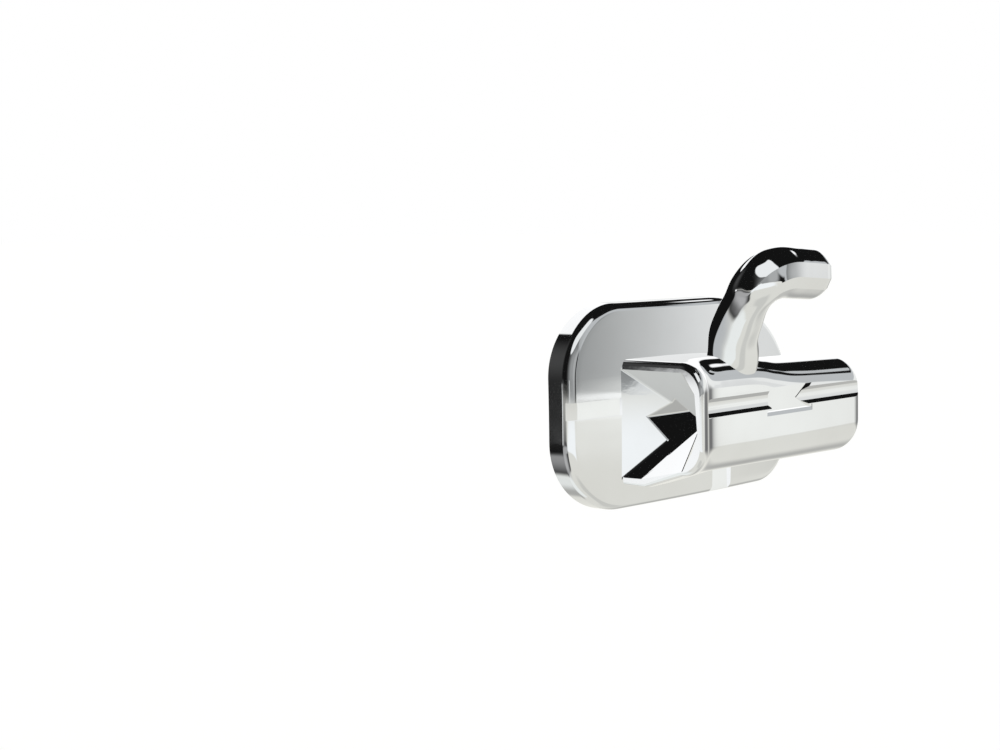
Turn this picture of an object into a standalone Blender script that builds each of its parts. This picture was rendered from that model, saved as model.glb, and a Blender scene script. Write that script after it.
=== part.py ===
"""One-piece mini buccal tube: bonding pad, rectangular tube with a flared mouth, and a hook.

Frame: metres, origin at the middle of the bonding back's rim plane.
+X is distal (away from the flared mouth), -Y is buccal (towards the cheek),
+Z is gingival (the side that carries the hook).
"""
import math

import bmesh
import bpy
import numpy as np
from mathutils import Vector

MM = 0.001

# Pad.
PAD_LENGTH = 5.12 * MM
PAD_HEIGHT = 2.99 * MM
PAD_CORNER_MESIAL = 1.05 * MM       # both corners at the mouth end
PAD_CORNER_HOOK_LONG = 2.00 * MM    # distal corner on the hook side, along the pad
PAD_CORNER_HOOK_TALL = 1.485 * MM   # the same corner, up the pad
PAD_CORNER_LOW = 0.75 * MM          # distal corner away from the hook
PAD_WALL = 0.26 * MM                # straight part of the side wall
PAD_EDGE_DEPTH = 0.15 * MM          # rounded front edge, measured into the pad
PAD_EDGE_INSET = 0.13 * MM          # rounded front edge, measured in from the outline
PAD_EDGE_STEPS = 5
PAD_BOW_FRONT = 0.10 * MM           # how far the middle of the face stands out
PAD_BOW_BACK = 0.22 * MM            # how far the bonding back is hollowed to the tooth
PAD_BOW_UP = 0.03 * MM              # the same over the height, both sides
PAD_CORNER_STEPS = 12
PAD_STRIPS = 20
PAD_ROWS = 6

# Tube. Each section gives x, the hook side's z, the far side's z, the far side's z next to the
# pad, the buccal face's y and the radius of the two buccal corners, in mm.
MOUTH_MM = -1.525                   # x of the mouth's rim
CHEEK_MM = -1.620                   # y of the flat buccal face
TUBE_ROOT_Y = -0.30 * MM            # buried in the pad
TUBE_KNEE_Y = -0.88 * MM            # where the far side leaves the pad-side swelling
TUBE_CORNER_STEPS = 8
TUBE_SECTIONS_MM = (
    (MOUTH_MM, 0.600, -0.860, -1.085, -1.920, 0.38),
    (-1.495, 0.655, -0.905, -1.120, -1.940, 0.40),
    (-1.440, 0.680, -0.925, -1.135, -1.945, 0.41),
    (-1.300, 0.685, -0.945, -1.140, -1.885, 0.42),
    (-1.150, 0.685, -0.960, -1.135, -1.770, 0.42),
    (-1.000, 0.685, -0.970, -1.130, -1.680, 0.42),
    (-0.820, 0.685, -0.980, -1.120, -1.630, 0.42),
    (-0.440, 0.685, -0.980, -1.095, CHEEK_MM, 0.42),
    (0.210, 0.665, -0.985, -1.030, CHEEK_MM, 0.42),
    (0.700, 0.590, -0.990, -1.000, CHEEK_MM, 0.43),
    (1.300, 0.520, -1.000, -1.000, CHEEK_MM, 0.44),
    (2.695, 0.480, -1.020, -1.020, CHEEK_MM, 0.48),
)
TUBE_END_X = 3.075 * MM
END_ROUND = 0.38 * MM               # rounding of the far end
END_STEPS = 7

# Archwire slot, turned about the tube's axis.
SLOT_HEIGHT = 0.457 * MM            # 0.018 in
SLOT_DEPTH = 0.635 * MM             # 0.025 in
SLOT_TURN = math.radians(34.5)
SLOT_CORNER_Y = -0.775 * MM         # the corner nearest the pad
SLOT_CORNER_Z = -0.137 * MM

# Funnel: flat walls that open the slot out to the mouth, three points each, in mm.
FUNNEL_INNER = (-1.45, -1.20, -0.20)    # a place inside the funnel's mouth
FUNNEL_WALLS_MM = {
    "pad side": ((MOUTH_MM, -0.490, 0.50), (MOUTH_MM, -0.490, -1.02), (-1.135, -0.990, 0.00)),
    "hook side": ((MOUTH_MM, 0.0, 0.545), (MOUTH_MM, -2.0, 0.545), (-1.083, -1.056, 0.056)),
    "narrow facet": ((MOUTH_MM, -0.490, -1.020), (MOUTH_MM, -0.830, -1.012), (-1.120, -1.008, -0.476)),
    "far side": ((MOUTH_MM, -0.830, -1.012), (MOUTH_MM, -1.690, -0.827), (-1.263, -1.134, -0.660)),
    "cheek side": ((MOUTH_MM, -1.830, 0.255), (MOUTH_MM, -1.875, -0.295), (-0.825, -1.44, -0.02)),
    "hook corner": ((MOUTH_MM, -1.610, 0.545), (MOUTH_MM, -1.830, 0.255), (-0.875, -1.40, 0.06)),
    "far corner low": ((MOUTH_MM, -1.770, -0.560), (MOUTH_MM, -1.600, -0.840), (-0.875, -1.35, -0.36)),
    "far corner high": ((MOUTH_MM, -1.875, -0.295), (MOUTH_MM, -1.770, -0.560), (-0.875, -1.42, -0.25)),
}

# Buccal groove with sloping sides, and the square notch across it.
GROOVE_Z = -0.006 * MM
GROOVE_HEIGHT = 0.272 * MM
GROOVE_DEPTH = 0.09 * MM
GROOVE_SLOPE_LOW = 0.047 * MM       # how far the side away from the hook slopes in
GROOVE_SLOPE_HIGH = 0.065 * MM      # the same on the hook side
GROOVE_START_X = -1.13 * MM
NOTCH_X = 1.000 * MM
NOTCH_Z = -0.035 * MM
NOTCH_LENGTH = 1.14 * MM            # between its corners
NOTCH_HEIGHT = 0.42 * MM
NOTCH_DEPTH = 0.11 * MM
NOTCH_V_MESIAL = 0.135 * MM         # how far the groove's end stands into the notch
NOTCH_V_DISTAL = 0.30 * MM
NOTCH_FLAT = 0.19 * MM              # height of the blunt mesial end
FACE_REACH = 0.6 * MM               # how far out of the buccal face their cutters start

# Marking grooves in the pad's face.
MARK_REACH = 1.3 * MM               # how far out of the pad their cutters start
RIM_GROOVE_Z = 0.010 * MM
RIM_GROOVE_HEIGHT = 0.25 * MM
RIM_GROOVE_DEPTH = 0.06 * MM
RIM_GROOVE_LIFT = 0.048 * MM        # how far it starts in front of the side wall
LOW_GROOVE_X = 0.722 * MM
LOW_GROOVE_WIDTH = 0.465 * MM
LOW_GROOVE_DEPTH = 0.07 * MM

# Retention pockets in the bonding back.
POCKET = 0.24 * MM
POCKET_PITCH = 0.42 * MM
POCKET_DEPTH = 0.11 * MM
POCKET_MARGIN = 0.24 * MM

# Hook: centre points with half width and half thickness, in mm.
HOOK_OUT_MM = -2.33                 # y of its outer run
HOOK_HALF_MM = 0.34                 # half width of that run
HOOK_STATIONS = (
    # x, y, z, half width, half thickness
    (0.045, -1.22, 0.395, 0.350, 0.350),
    (0.000, -1.320, 0.695, 0.345, 0.355),
    (-0.212, -1.50, 0.995, 0.312, 0.350),
    (-0.415, -1.77, 1.275, 0.305, 0.330),
    (-0.550, -1.995, 1.500, 0.305, 0.305),
    (-0.590, HOOK_OUT_MM + 0.17, 1.690, 0.325, 0.325),
    (-0.480, HOOK_OUT_MM + 0.06, 1.840, HOOK_HALF_MM, HOOK_HALF_MM),
    (-0.210, HOOK_OUT_MM + 0.01, 1.910, HOOK_HALF_MM, HOOK_HALF_MM),
    (0.130, HOOK_OUT_MM, 1.895, HOOK_HALF_MM, HOOK_HALF_MM),
    (0.490, HOOK_OUT_MM, 1.870, HOOK_HALF_MM, HOOK_HALF_MM),
)
HOOK_RING_STEPS = 20
HOOK_SQUARENESS = 2.6               # 2 is an ellipse, larger is squarer
HOOK_SUBSTEPS = 3
HOOK_TIP_STEPS = 6


def clear_scene():
    """Remove every object left in the file."""
    for old in list(bpy.data.objects):
        bpy.data.objects.remove(old, do_unlink=True)


def new_object(name, bm):
    """Turn a bmesh into an object, with outward normals."""
    bmesh.ops.recalc_face_normals(bm, faces=bm.faces)
    mesh = bpy.data.meshes.new(name)
    bm.to_mesh(mesh)
    bm.free()
    obj = bpy.data.objects.new(name, mesh)
    bpy.context.scene.collection.objects.link(obj)
    return obj


def as_cutter(obj):
    """Hide a helper body from renders."""
    obj.hide_render = True
    obj.display_type = 'WIRE'
    return obj


def apply_boolean(target, tool, operation):
    """Combine two bodies exactly and drop the tool."""
    mod = target.modifiers.new("step", 'BOOLEAN')
    mod.operation = operation
    mod.solver = 'EXACT'
    mod.object = tool
    depsgraph = bpy.context.evaluated_depsgraph_get()
    result = bpy.data.meshes.new_from_object(target.evaluated_get(depsgraph))
    target.modifiers.clear()
    old = target.data
    target.data = result
    bpy.data.meshes.remove(old)
    bpy.data.objects.remove(tool, do_unlink=True)


def bow(x, z, along_bow):
    """Offset of one of the pad's big surfaces towards the cheek at a place on the pad."""
    along = 1.0 - (2.0 * x / PAD_LENGTH) ** 2
    up = 1.0 - (2.0 * z / PAD_HEIGHT) ** 2
    return -along_bow * along - PAD_BOW_UP * up


def pad_corners():
    """For each corner its side in x and z, first angle, and radii along x and z."""
    return ((1, 1, 0.0, PAD_CORNER_HOOK_LONG, PAD_CORNER_HOOK_TALL),
            (-1, 1, 90.0, PAD_CORNER_MESIAL, PAD_CORNER_MESIAL),
            (-1, -1, 180.0, PAD_CORNER_MESIAL, PAD_CORNER_MESIAL),
            (1, -1, 270.0, PAD_CORNER_LOW, PAD_CORNER_LOW))


def pad_outline(inset):
    """Pad outline drawn in by an inset, as (x, z) pairs in order."""
    points = []
    for side_x, side_z, start, long_radius, tall_radius in pad_corners():
        centre_x = side_x * (PAD_LENGTH / 2 - long_radius)
        centre_z = side_z * (PAD_HEIGHT / 2 - tall_radius)
        for step in range(PAD_CORNER_STEPS + 1):
            angle = math.radians(start + 90.0 * step / PAD_CORNER_STEPS)
            points.append((centre_x + (long_radius - inset) * math.cos(angle),
                           centre_z + (tall_radius - inset) * math.sin(angle)))
    return points


def bridge(bm, ring_a, ring_b):
    """Join two rings of the same count with quads."""
    count = len(ring_a)
    for i in range(count):
        j = (i + 1) % count
        bm.faces.new((ring_a[i], ring_a[j], ring_b[j], ring_b[i]))


def slice_pad(bm):
    """Cut the pad's big faces into strips so that they can bow."""
    for index in range(1, PAD_STRIPS):
        x = -PAD_LENGTH / 2 + PAD_LENGTH * index / PAD_STRIPS
        geom = bm.verts[:] + bm.edges[:] + bm.faces[:]
        bmesh.ops.bisect_plane(bm, geom=geom, plane_co=(x, 0, 0), plane_no=(1, 0, 0))
    for index in range(1, PAD_ROWS):
        z = -PAD_HEIGHT / 2 + PAD_HEIGHT * index / PAD_ROWS
        geom = bm.verts[:] + bm.edges[:] + bm.faces[:]
        bmesh.ops.bisect_plane(bm, geom=geom, plane_co=(0, 0, z), plane_no=(0, 0, 1))


def build_pad():
    """The bonding pad with its rounded front edge, bowed to the tooth."""
    bm = bmesh.new()
    rings = []
    levels = [(0.0, 0.0), (-PAD_WALL, 0.0)]
    for step in range(1, PAD_EDGE_STEPS + 1):
        angle = math.radians(90.0 * step / PAD_EDGE_STEPS)
        inset = PAD_EDGE_INSET * (1.0 - math.cos(angle))
        depth = PAD_WALL + PAD_EDGE_DEPTH * math.sin(angle)
        levels.append((-depth, inset))
    for y, inset in levels:
        rings.append([bm.verts.new((x, y, z)) for x, z in pad_outline(inset)])
    for ring_a, ring_b in zip(rings, rings[1:]):
        bridge(bm, ring_a, ring_b)
    bm.faces.new(rings[0])
    bm.faces.new(list(reversed(rings[-1])))
    slice_pad(bm)
    for vert in bm.verts:
        along_bow = PAD_BOW_BACK if vert.co.y > -1e-9 else PAD_BOW_FRONT
        vert.co.y += bow(vert.co.x, vert.co.z, along_bow)
    return new_object("buccal_tube", bm)


def tube_section(top, bottom, swell, cheek, radius):
    """Tube outline as (y, z) pairs; the pad side stays put."""
    points = [(TUBE_KNEE_Y, swell), (TUBE_ROOT_Y, swell), (TUBE_ROOT_Y, top)]
    for step in range(TUBE_CORNER_STEPS + 1):
        angle = math.radians(90.0 * step / TUBE_CORNER_STEPS)
        points.append((cheek + radius - radius * math.sin(angle),
                       top - radius + radius * math.cos(angle)))
    for step in range(TUBE_CORNER_STEPS + 1):
        angle = math.radians(90.0 * step / TUBE_CORNER_STEPS)
        points.append((cheek + radius - radius * math.cos(angle),
                       bottom + radius - radius * math.sin(angle)))
    return points


def build_tube():
    """The tube body: wider at the mouth, lower past the hook, rounded at the far end."""
    rows = smooth_path(TUBE_SECTIONS_MM, 2) * MM
    sections = [tuple(row) for row in rows]
    last = rows[-1]
    for step in range(1, END_STEPS + 1):
        angle = math.radians(90.0 * step / END_STEPS)
        x = TUBE_END_X - END_ROUND * (1.0 - math.sin(angle))
        inset = END_ROUND * (1.0 - math.cos(angle))
        sections.append((x, last[1] - inset, last[2] + inset, last[3] + inset,
                         last[4] + inset, last[5] - inset * 0.4))
    bm = bmesh.new()
    rings = []
    for x, top, bottom, swell, cheek, radius in sections:
        outline = tube_section(top, bottom, swell, cheek, radius)
        rings.append([bm.verts.new((x, y, z)) for y, z in outline])
    for ring_a, ring_b in zip(rings, rings[1:]):
        bridge(bm, ring_a, ring_b)
    bm.faces.new(rings[0])
    bm.faces.new(rings[-1])
    return new_object("tube_body", bm)


def smooth_path(stations, substeps):
    """Catmull-Rom points through the given rows, ends held."""
    rows = np.array(stations, dtype=float)
    padded = np.vstack([2 * rows[0] - rows[1], rows, 2 * rows[-1] - rows[-2]])
    out = []
    for i in range(len(rows) - 1):
        p0, p1, p2, p3 = padded[i:i + 4]
        for step in range(substeps):
            t = step / substeps
            out.append(0.5 * ((2 * p1) + (p2 - p0) * t
                              + (2 * p0 - 5 * p1 + 4 * p2 - p3) * t ** 2
                              + (3 * p1 - p0 - 3 * p2 + p3) * t ** 3))
    out.append(rows[-1])
    return np.array(out)


def hook_frames(path):
    """Tangent, side and face directions carried along the hook without twist."""
    points = path[:, :3]
    tangents = np.gradient(points, axis=0)
    tangents /= np.linalg.norm(tangents, axis=1)[:, None]
    side = np.array([1.0, 0.0, 0.0])
    frames = []
    for tangent in tangents:
        side = side - tangent * side.dot(tangent)
        side /= np.linalg.norm(side)
        frames.append((tangent, side, np.cross(tangent, side)))
    return frames


def hook_ring(bm, centre, side, face, half_width, half_thick):
    """One closed squarish ring of the hook."""
    ring = []
    power = 2.0 / HOOK_SQUARENESS
    for step in range(HOOK_RING_STEPS):
        angle = 2 * math.pi * (step + 0.5) / HOOK_RING_STEPS
        c = math.cos(angle)
        s = math.sin(angle)
        u = math.copysign(abs(c) ** power, c) * half_width
        v = math.copysign(abs(s) ** power, s) * half_thick
        ring.append(bm.verts.new(Vector(centre + side * u + face * v)))
    return ring


def build_hook():
    """The hook: a squarish bar swept up, out towards the cheek, then distally."""
    path = smooth_path(HOOK_STATIONS, HOOK_SUBSTEPS) * MM
    frames = hook_frames(path)
    bm = bmesh.new()
    rings = []
    for row, (tangent, side, face) in zip(path, frames):
        rings.append(hook_ring(bm, row[:3], side, face, row[3], row[4]))
    tip = path[-1]
    tangent, side, face = frames[-1]
    for step in range(1, HOOK_TIP_STEPS):
        angle = math.radians(90.0 * step / HOOK_TIP_STEPS)
        centre = tip[:3] + tangent * tip[3] * math.sin(angle)
        shrink = math.cos(angle)
        rings.append(hook_ring(bm, centre, side, face, tip[3] * shrink, tip[4] * shrink))
    for ring_a, ring_b in zip(rings, rings[1:]):
        bridge(bm, ring_a, ring_b)
    bm.faces.new(rings[0])
    bm.faces.new(rings[-1])
    return new_object("hook", bm)


def slot_axes():
    """Unit (y, z) directions of the slot's long and short sides, from the pad-side corner."""
    long_side = (-math.sin(SLOT_TURN), -math.cos(SLOT_TURN))
    short_side = (-math.cos(SLOT_TURN), math.sin(SLOT_TURN))
    return long_side, short_side


def slot_corners():
    """The four (y, z) corners of the slot."""
    long_side, short_side = slot_axes()
    corners = []
    for a, b in ((0, 0), (1, 0), (1, 1), (0, 1)):
        corners.append((SLOT_CORNER_Y + long_side[0] * SLOT_DEPTH * a + short_side[0] * SLOT_HEIGHT * b,
                        SLOT_CORNER_Z + long_side[1] * SLOT_DEPTH * a + short_side[1] * SLOT_HEIGHT * b))
    return corners


def build_slot_cutter():
    """Straight turned prism for the archwire, right through the tube."""
    bm = bmesh.new()
    rings = []
    for x in (MOUTH_MM * MM - 0.5 * MM, TUBE_END_X + 0.5 * MM):
        rings.append([bm.verts.new((x, y, z)) for y, z in slot_corners()])
    bridge(bm, rings[0], rings[1])
    bm.faces.new(rings[0])
    bm.faces.new(rings[1])
    return as_cutter(new_object("slot_cutter", bm))


def build_funnel_cutter():
    """Funnel body: a box trimmed by every funnel wall in turn."""
    start = (MOUTH_MM - 0.03) * MM
    end = TUBE_END_X
    across = 2 * PAD_LENGTH
    inner = Vector(FUNNEL_INNER)
    bm = bmesh.new()
    bmesh.ops.create_cube(bm, size=1.0)
    for vert in bm.verts:
        vert.co = Vector((start if vert.co.x < 0 else end,
                          vert.co.y * across, vert.co.z * across))
    for corners in FUNNEL_WALLS_MM.values():
        a, b, c = (Vector(corner) for corner in corners)
        normal = (b - a).cross(c - a).normalized()
        if normal.dot(inner - a) > 0:
            normal = -normal
        geom = bm.verts[:] + bm.edges[:] + bm.faces[:]
        cut = bmesh.ops.bisect_plane(bm, geom=geom, plane_co=a * MM, plane_no=normal,
                                     clear_outer=True)
        edges = [e for e in cut["geom_cut"] if isinstance(e, bmesh.types.BMEdge)]
        if edges:
            bmesh.ops.contextual_create(bm, geom=edges)
    return as_cutter(new_object("funnel_cutter", bm))


def prism_cutter(name, profile, near, far, axis):
    """Extrude a closed profile between two positions along x, y or z."""
    bm = bmesh.new()
    rings = []
    for position in (near, far):
        ring = []
        for a, b in profile:
            if axis == 'x':
                co = (position, a, b)
            elif axis == 'y':
                co = (a, position, b)
            else:
                co = (a, b, position)
            ring.append(bm.verts.new(co))
        rings.append(ring)
    bridge(bm, rings[0], rings[1])
    bm.faces.new(rings[0])
    bm.faces.new(rings[1])
    return as_cutter(new_object(name, bm))


def groove_outline(slope_low, slope_high):
    """Groove outline as (x, z) pairs, round at the mouth end, drawn in by a slope each side."""
    half = (GROOVE_HEIGHT - slope_low - slope_high) / 2
    centre_x = GROOVE_START_X + GROOVE_HEIGHT / 2
    centre_z = GROOVE_Z + (slope_low - slope_high) / 2
    far = TUBE_END_X + FACE_REACH
    points = [(far, centre_z - half), (far, centre_z + half)]
    for step in range(9):
        angle = math.radians(90.0 + 180.0 * step / 8)
        points.append((centre_x + half * math.cos(angle), centre_z + half * math.sin(angle)))
    return points


def build_groove_cutter():
    """Long groove in the buccal face, its sides sloping to the floor, open at the far end."""
    face = CHEEK_MM * MM
    bm = bmesh.new()
    rings = []
    for y, low, high in ((face - FACE_REACH, 0.0, 0.0), (face - 0.002 * MM, 0.0, 0.0),
                         (face + GROOVE_DEPTH, GROOVE_SLOPE_LOW, GROOVE_SLOPE_HIGH)):
        rings.append([bm.verts.new((x, y, z)) for x, z in groove_outline(low, high)])
    bridge(bm, rings[0], rings[1])
    bridge(bm, rings[1], rings[2])
    bm.faces.new(rings[0])
    bm.faces.new(rings[2])
    return as_cutter(new_object("groove_cutter", bm))


def build_notch_cutter():
    """Square notch across the groove, with the groove's ends standing into it."""
    left = NOTCH_X - NOTCH_LENGTH / 2
    right = NOTCH_X + NOTCH_LENGTH / 2
    tall = NOTCH_HEIGHT / 2
    blunt = NOTCH_FLAT / 2
    points = [
        (left, NOTCH_Z + tall), (left + NOTCH_V_MESIAL, NOTCH_Z + blunt),
        (left + NOTCH_V_MESIAL, NOTCH_Z - blunt), (left, NOTCH_Z - tall),
        (right, NOTCH_Z - tall), (right - NOTCH_V_DISTAL, NOTCH_Z), (right, NOTCH_Z + tall),
    ]
    face = CHEEK_MM * MM
    return prism_cutter("notch_cutter", points, face - FACE_REACH, face + NOTCH_DEPTH, 'y')


def pad_face_y(x, z):
    """Y of the pad's front face at a place on it."""
    return -(PAD_WALL + PAD_EDGE_DEPTH) + bow(x, z, PAD_BOW_FRONT)


def build_rim_groove_cutter():
    """Shallow marking groove over the pad's mesial edge to the tube's foot."""
    steps = 8
    start = -PAD_LENGTH / 2 - 0.01 * MM
    stop = (MOUTH_MM + 0.05) * MM
    inset = PAD_EDGE_INSET + 0.5 * RIM_GROOVE_DEPTH
    wall_end = pad_face_y(-PAD_LENGTH / 2, RIM_GROOVE_Z) + PAD_EDGE_DEPTH
    profile = [(start, -MARK_REACH), (start, wall_end - RIM_GROOVE_LIFT)]
    first = -PAD_LENGTH / 2 + inset
    for step in range(steps + 1):
        x = first + (stop - first) * step / steps
        profile.append((x, pad_face_y(x, 0.0) + RIM_GROOVE_DEPTH))
    profile.append((stop, -MARK_REACH))
    half = RIM_GROOVE_HEIGHT / 2
    return prism_cutter("rim_groove_cutter", profile, RIM_GROOVE_Z - half, RIM_GROOVE_Z + half, 'z')


def build_low_groove_cutter():
    """Shallow marking groove from the pad's occlusal edge to the tube."""
    half = LOW_GROOVE_WIDTH / 2
    x = LOW_GROOVE_X
    foot = TUBE_SECTIONS_MM[-1][2] * MM
    floor = pad_face_y(x, -PAD_HEIGHT / 2) + LOW_GROOVE_DEPTH
    inner = pad_face_y(x, foot) + LOW_GROOVE_DEPTH
    low = -PAD_HEIGHT / 2 - 0.05 * MM
    high = foot + 0.02 * MM
    profile = [(-MARK_REACH, low), (floor, low), (inner, high), (-MARK_REACH, high)]
    return prism_cutter("low_groove_cutter", profile, x - half, x + half, 'x')


def inside_pad(x, z, margin):
    """True where a point lies about the margin or more inside the pad's outline."""
    for side_x, side_z, start, long_radius, tall_radius in pad_corners():
        over_x = max(side_x * x - (PAD_LENGTH / 2 - long_radius), 0.0)
        over_z = max(side_z * z - (PAD_HEIGHT / 2 - tall_radius), 0.0)
        if math.hypot(over_x / (long_radius - margin), over_z / (tall_radius - margin)) > 1.0:
            return False
    return True


def build_pocket_cutter():
    """Grid of square retention pockets for the bonding back."""
    bm = bmesh.new()
    half = POCKET / 2
    count_x = int(PAD_LENGTH / 2 / POCKET_PITCH)
    count_z = int(PAD_HEIGHT / 2 / POCKET_PITCH)
    for i in range(-count_x, count_x + 1):
        for j in range(-count_z, count_z + 1):
            x = i * POCKET_PITCH
            z = j * POCKET_PITCH
            far_x = x + math.copysign(half, x)
            far_z = z + math.copysign(half, z)
            if not inside_pad(far_x, far_z, POCKET_MARGIN):
                continue
            surface = bow(x, z, PAD_BOW_BACK)
            ring_low = []
            ring_high = []
            for dx, dz in ((-half, -half), (half, -half), (half, half), (-half, half)):
                ring_low.append(bm.verts.new((x + dx, surface - POCKET_DEPTH, z + dz)))
                ring_high.append(bm.verts.new((x + dx, 0.2 * MM, z + dz)))
            bridge(bm, ring_low, ring_high)
            bm.faces.new(ring_low)
            bm.faces.new(ring_high)
    return as_cutter(new_object("pocket_cutter", bm))


def polished_metal(name, color, roughness, metallic):
    """Principled material for the part."""
    mat = bpy.data.materials.new(name)
    mat.use_nodes = True
    shader = mat.node_tree.nodes["Principled BSDF"]
    shader.inputs["Base Color"].default_value = color
    shader.inputs["Roughness"].default_value = roughness
    shader.inputs["Metallic"].default_value = metallic
    return mat


def main():
    """Build the part."""
    clear_scene()
    part = build_pad()
    apply_boolean(part, build_pocket_cutter(), 'DIFFERENCE')
    apply_boolean(part, build_rim_groove_cutter(), 'DIFFERENCE')
    apply_boolean(part, build_low_groove_cutter(), 'DIFFERENCE')
    apply_boolean(part, build_tube(), 'UNION')
    apply_boolean(part, build_hook(), 'UNION')
    apply_boolean(part, build_groove_cutter(), 'DIFFERENCE')
    apply_boolean(part, build_notch_cutter(), 'DIFFERENCE')
    apply_boolean(part, build_funnel_cutter(), 'DIFFERENCE')
    apply_boolean(part, build_slot_cutter(), 'DIFFERENCE')
    part.name = "buccal_tube"
    part.data.name = "buccal_tube"
    part.data.materials.clear()
    part.data.materials.append(polished_metal("polished_steel", (0.78, 0.79, 0.80, 1.0), 0.06, 1.0))


main()
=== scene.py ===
"""Studio scene of a one-piece mini buccal tube: bonding pad, flared archwire tube and hook.

The part is rebuilt in millimetres from surfaces worked out with numpy, joined and cut exactly,
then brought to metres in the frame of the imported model: +X distal, -Y towards the cheek,
+Z gingival.
"""
from __future__ import annotations

import logging
import math
from dataclasses import dataclass, field
from enum import Enum

import bmesh
import bpy
import numpy as np
from mathutils import Matrix, Vector

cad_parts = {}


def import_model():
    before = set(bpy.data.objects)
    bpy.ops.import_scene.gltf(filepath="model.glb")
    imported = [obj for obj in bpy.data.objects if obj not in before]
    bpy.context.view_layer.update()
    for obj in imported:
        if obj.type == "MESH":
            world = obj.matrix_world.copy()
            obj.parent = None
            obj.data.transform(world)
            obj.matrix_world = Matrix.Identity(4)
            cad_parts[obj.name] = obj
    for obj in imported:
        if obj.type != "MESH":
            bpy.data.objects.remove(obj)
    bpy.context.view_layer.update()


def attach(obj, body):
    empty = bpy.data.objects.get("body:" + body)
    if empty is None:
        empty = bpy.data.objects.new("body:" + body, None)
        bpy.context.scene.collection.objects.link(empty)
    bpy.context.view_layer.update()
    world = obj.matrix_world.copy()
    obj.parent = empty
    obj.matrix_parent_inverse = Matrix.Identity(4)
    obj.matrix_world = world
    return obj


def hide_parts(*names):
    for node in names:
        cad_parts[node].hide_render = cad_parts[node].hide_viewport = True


MM = 0.001
DARK = (0.008, 0.008, 0.008)  # what the unlit room and the flags show
LOG = logging.getLogger("buccal_tube")
Array = np.ndarray


class Cut(Enum):
    """How two bodies are combined."""

    JOIN = "UNION"
    REMOVE = "DIFFERENCE"


def through(rows: Array, substeps: int) -> Array:
    """Points of a Catmull-Rom curve through rows of numbers.

    Between two rows the curve is the cubic whose slope at each row is half the step between
    its neighbours.

    Args:
        rows: one row per station, any number of columns.
        substeps: how many pieces each span is cut into.

    Returns:
        An array with (stations - 1) * substeps + 1 rows.
    """
    padded = np.vstack([2 * rows[0] - rows[1], rows, 2 * rows[-1] - rows[-2]])
    before, start, stop, after = padded[:-3], padded[1:-2], padded[2:-1], padded[3:]
    t = (np.arange(substeps) / substeps)[None, :, None]
    before, start, stop, after = (part[:, None, :] for part in (before, start, stop, after))
    curve = 0.5 * (2 * start + (stop - before) * t
                   + (2 * before - 5 * start + 4 * stop - after) * t ** 2
                   + (3 * start - before - 3 * stop + after) * t ** 3)
    return np.vstack([curve.reshape(-1, rows.shape[1]), rows[-1:]])


def mesh_from(name: str, points: Array, loops: Array, starts: Array) -> bpy.types.Object:
    """Make an object from whole arrays, with its faces pointing outwards.

    Args:
        name: name of the object and its mesh.
        points: vertex positions in mm, shape (n, 3).
        loops: vertex numbers of all faces, one after the other.
        starts: where each face begins in loops.

    Returns:
        The new object, linked to the scene.
    """
    mesh = bpy.data.meshes.new(name)
    mesh.vertices.add(len(points))
    mesh.vertices.foreach_set("co", np.ascontiguousarray(points, dtype=np.float32).ravel())
    mesh.loops.add(len(loops))
    mesh.loops.foreach_set("vertex_index", np.ascontiguousarray(loops, dtype=np.int32))
    mesh.polygons.add(len(starts))
    mesh.polygons.foreach_set("loop_start", np.ascontiguousarray(starts, dtype=np.int32))
    mesh.update(calc_edges=True)
    mesh.validate()
    work = bmesh.new()
    work.from_mesh(mesh)
    bmesh.ops.recalc_face_normals(work, faces=work.faces)
    work.to_mesh(mesh)
    work.free()
    obj = bpy.data.objects.new(name, mesh)
    bpy.context.scene.collection.objects.link(obj)
    return obj


def loft(name: str, rings: Array) -> bpy.types.Object:
    """Closed skin over a stack of rings, with a flat cap at each end.

    Args:
        name: name of the new object.
        rings: positions in mm, shape (rings, points round, 3).

    Returns:
        The new object.
    """
    rows, count = rings.shape[:2]
    index = np.arange(rows * count).reshape(rows, count)
    here, there = index[:-1], index[1:]
    quads = np.stack([here, np.roll(here, -1, 1), np.roll(there, -1, 1), there], axis=-1).reshape(-1, 4)
    loops = np.concatenate([quads.ravel(), index[0][::-1], index[-1]])
    starts = np.concatenate([np.arange(len(quads) + 1) * 4, [len(quads) * 4 + count]])
    return mesh_from(name, rings.reshape(-1, 3), loops, starts)


def keep(body: bpy.types.Object) -> None:
    """Turn a body's modifiers into its mesh."""
    depsgraph = bpy.context.evaluated_depsgraph_get()
    result = bpy.data.meshes.new_from_object(body.evaluated_get(depsgraph))
    body.modifiers.clear()
    old = body.data
    body.data = result
    bpy.data.meshes.remove(old)


def combine(target: bpy.types.Object, tool: bpy.types.Object, how: Cut) -> None:
    """Join or cut a body exactly with another one, which is used up.

    Args:
        target: the body that stays.
        tool: the body that is used.
        how: join or remove.
    """
    step = target.modifiers.new("step", "BOOLEAN")
    step.operation = how.value
    step.solver = "EXACT"
    step.object = tool
    keep(target)
    bpy.data.objects.remove(tool, do_unlink=True)


def rounded(body: bpy.types.Object, radius: float, angle: float, segments: int) -> None:
    """Round the edges of a body that turn by more than an angle, and keep the result.

    Args:
        body: the body to round, in mm.
        radius: width of the rounding in mm.
        angle: smallest turn in degrees.
        segments: steps of each rounding.
    """
    step = body.modifiers.new("rounding", "BEVEL")
    step.width = radius
    step.segments = segments
    step.limit_method = "ANGLE"
    step.angle_limit = math.radians(angle)
    step.use_clamp_overlap = False
    keep(body)


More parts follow.
